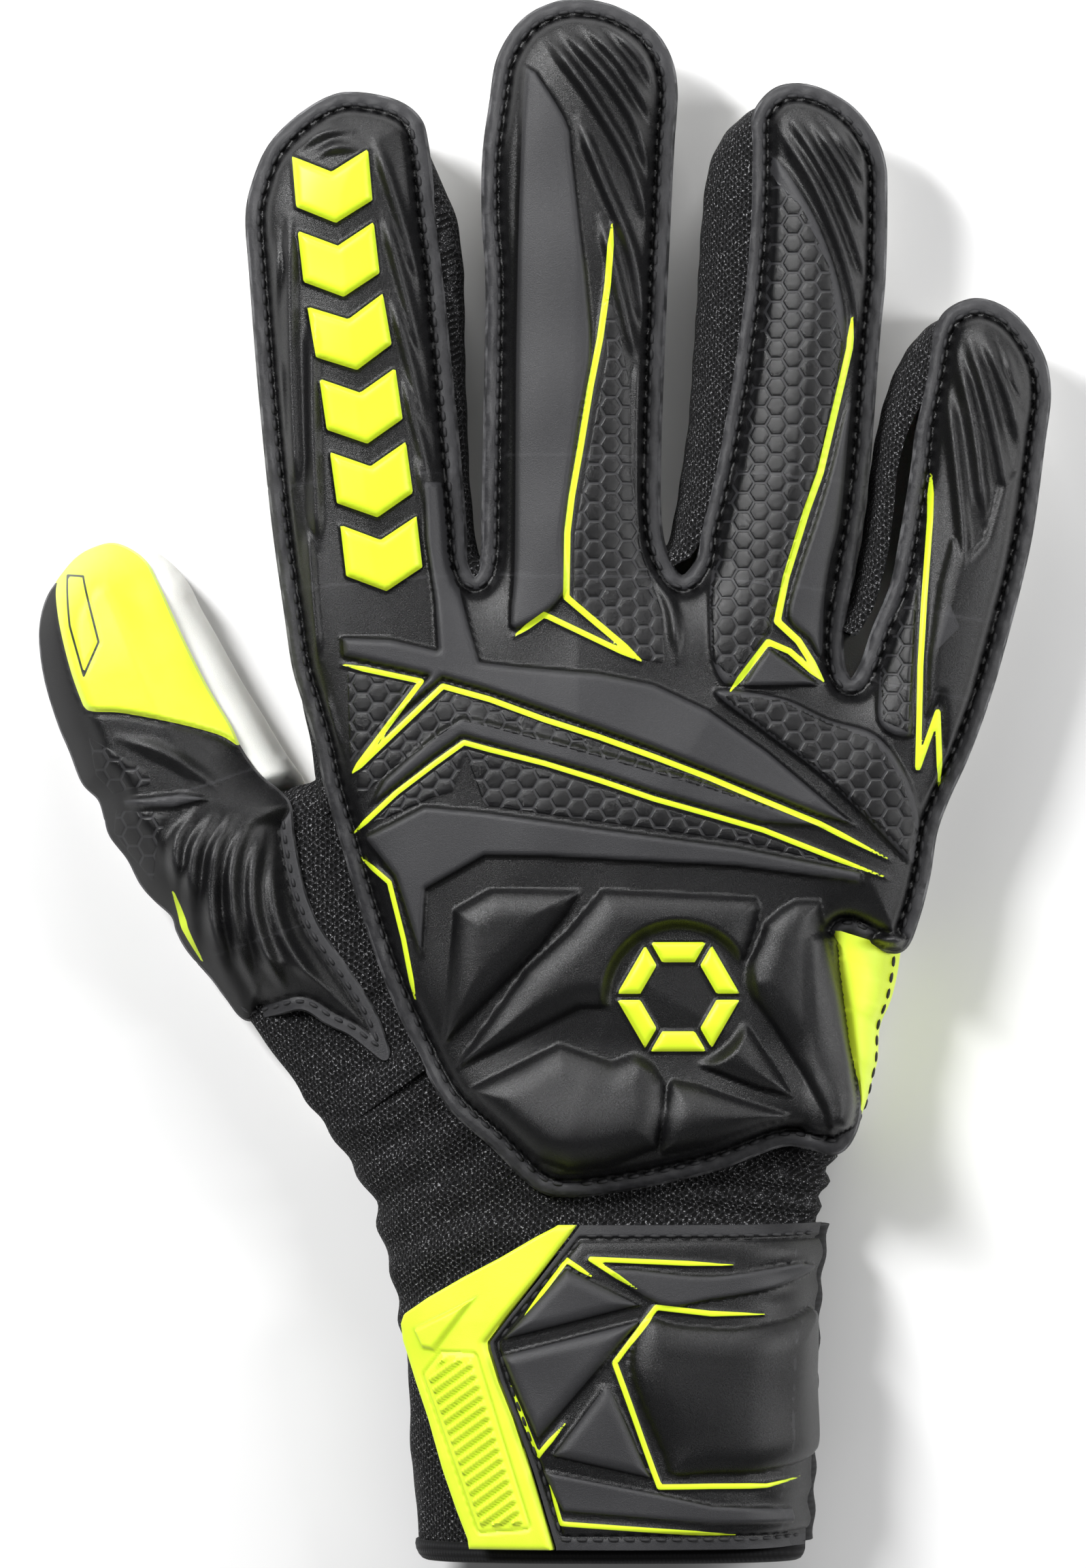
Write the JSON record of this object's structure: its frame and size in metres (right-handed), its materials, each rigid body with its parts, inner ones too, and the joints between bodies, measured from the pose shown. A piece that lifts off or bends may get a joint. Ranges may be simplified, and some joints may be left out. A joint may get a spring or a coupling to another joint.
{
  "type": "goalkeeper glove",
  "caption": "Right-hand goalkeeper glove with a padded ridged back, latex palm, knit gussets and wrist, and a wrap strap with a pull tab.",
  "frame": {"origin": "on the resting face of the palm foam, under the middle of the hand, with the glove lying palm down", "axes": "+Y towards the fingertips, +X towards the little finger, +Z out of the back of the hand"},
  "size_m": [0.1864, 0.2868, 0.037],
  "materials": {
    "back_panel": "satin moulded foam skin with glossy grooves",
    "black_knit": "matte ribbed knit",
    "palm_latex": "matte latex foam with a fine grain",
    "neon_rubber": "satin moulded rubber",
    "spine_plastic": "satin",
    "strap_cover": "satin moulded rubber",
    "elastic_webbing": "woven elastic",
    "hook_and_loop": "napped"
  },
  "bodies": {
    "hand": {"backhand_panel": "back_panel", "palm_panel": "palm_latex", "outer_side_gusset": "black_knit", "side_accent": "neon_rubber", "web_gusset": "black_knit", "thumb_root_panel": "back_panel", "thumb_side_gusset": "black_knit", "heel_knit_panel": "black_knit", "spine_carrier": "spine_plastic", "wrist_knit": "black_knit", "cuff_binding": "elastic_webbing", "loop_patch": "hook_and_loop", "strap_anchor": "elastic_webbing"},
    "strap_flap": {"strap_band": "elastic_webbing", "strap_cover": "strap_cover", "pull_tab": "neon_rubber", "hook_patch": "hook_and_loop"},
    "index_base": {"index_back_panel": "back_panel", "index_palm": "palm_latex", "index_gusset_left": "black_knit", "index_gusset_right": "black_knit", "index_spine": "spine_plastic"},
    "index_tip": {"index_tip_back_panel": "back_panel", "index_tip_palm": "palm_latex", "index_tip_gusset": "black_knit", "index_tip_spine": "spine_plastic"},
    "middle_base": {"middle_back_panel": "back_panel", "middle_palm": "palm_latex", "middle_gusset_left": "black_knit", "middle_gusset_right": "black_knit", "middle_spine": "spine_plastic"},
    "middle_tip": {"middle_tip_back_panel": "back_panel", "middle_tip_palm": "palm_latex", "middle_tip_gusset": "black_knit", "middle_tip_spine": "spine_plastic"},
    "ring_base": {"ring_back_panel": "back_panel", "ring_palm": "palm_latex", "ring_gusset_left": "black_knit", "ring_gusset_right": "black_knit", "ring_spine": "spine_plastic"},
    "ring_tip": {"ring_tip_back_panel": "back_panel", "ring_tip_palm": "palm_latex", "ring_tip_gusset": "black_knit", "ring_tip_spine": "spine_plastic"},
    "little_base": {"little_back_panel": "back_panel", "little_palm": "palm_latex", "little_gusset_left": "black_knit", "little_gusset_right": "black_knit", "little_spine": "spine_plastic"},
    "little_tip": {"little_tip_back_panel": "back_panel", "little_tip_palm": "palm_latex", "little_tip_gusset": "black_knit", "little_tip_spine": "spine_plastic"},
    "thumb_base": {"thumb_back_panel": "back_panel", "thumb_palm": "palm_latex", "thumb_gusset_outer": "black_knit", "thumb_gusset_inner": "black_knit"},
    "thumb_tip": {"thumb_cap": "neon_rubber", "thumb_tip_palm": "palm_latex", "thumb_tip_gusset": "black_knit"}
  },
  "joints": [
    {"name": "index_knuckle_bend", "type": "hinge", "parent": "hand", "child": "index_base", "pos_m": [-0.03, 0.0515, 0.01], "axis": [-0.9962, -0.0872, 0], "range_deg": [0, 70], "stiffness_Nm_per_rad": 0.12},
    {"name": "index_middle_bend", "type": "hinge", "parent": "index_base", "child": "index_tip", "pos_m": [-0.03349, 0.09135, 0.01], "axis": [-0.9962, -0.0872, 0], "range_deg": [0, 75], "stiffness_Nm_per_rad": 0.06},
    {"name": "middle_knuckle_bend", "type": "hinge", "parent": "hand", "child": "middle_base", "pos_m": [0.007, 0.0525, 0.01], "axis": [-1, 0.0087, 0], "range_deg": [0, 70], "stiffness_Nm_per_rad": 0.12},
    {"name": "middle_middle_bend", "type": "hinge", "parent": "middle_base", "child": "middle_tip", "pos_m": [0.0074, 0.0985, 0.01], "axis": [-1, 0.0087, 0], "range_deg": [0, 75], "stiffness_Nm_per_rad": 0.06},
    {"name": "ring_knuckle_bend", "type": "hinge", "parent": "hand", "child": "ring_base", "pos_m": [0.041, 0.051, 0.01], "axis": [-0.9945, 0.1045, 0], "range_deg": [0, 70], "stiffness_Nm_per_rad": 0.12},
    {"name": "ring_middle_bend", "type": "hinge", "parent": "ring_base", "child": "ring_tip", "pos_m": [0.04539, 0.09277, 0.01], "axis": [-0.9945, 0.1045, 0], "range_deg": [0, 75], "stiffness_Nm_per_rad": 0.06},
    {"name": "little_knuckle_bend", "type": "hinge", "parent": "hand", "child": "little_base", "pos_m": [0.0673, 0.0318, 0.01], "axis": [-0.9848, 0.1736, 0], "range_deg": [0, 70], "stiffness_Nm_per_rad": 0.12},
    {"name": "little_middle_bend", "type": "hinge", "parent": "little_base", "child": "little_tip", "pos_m": [0.07303, 0.0643, 0.01], "axis": [-0.9848, 0.1736, 0], "range_deg": [0, 75], "stiffness_Nm_per_rad": 0.06},
    {"name": "thumb_base_bend", "type": "hinge", "parent": "hand", "child": "thumb_base", "pos_m": [-0.0604, 0.0019, 0.01], "axis": [-0.9455, -0.3256, 0], "range_deg": [0, 45], "stiffness_Nm_per_rad": 0.12},
    {"name": "thumb_tip_bend", "type": "hinge", "parent": "thumb_base", "child": "thumb_tip", "pos_m": [-0.07017, 0.03027, 0.01], "axis": [-0.9455, -0.3256, 0], "range_deg": [0, 60], "stiffness_Nm_per_rad": 0.06},
    {"name": "strap_lift", "type": "hinge", "parent": "hand", "child": "strap_flap", "pos_m": [0.0525, -0.092, 0.017], "axis": [0, 1, 0], "range_deg": [0, 150]}
  ]
}
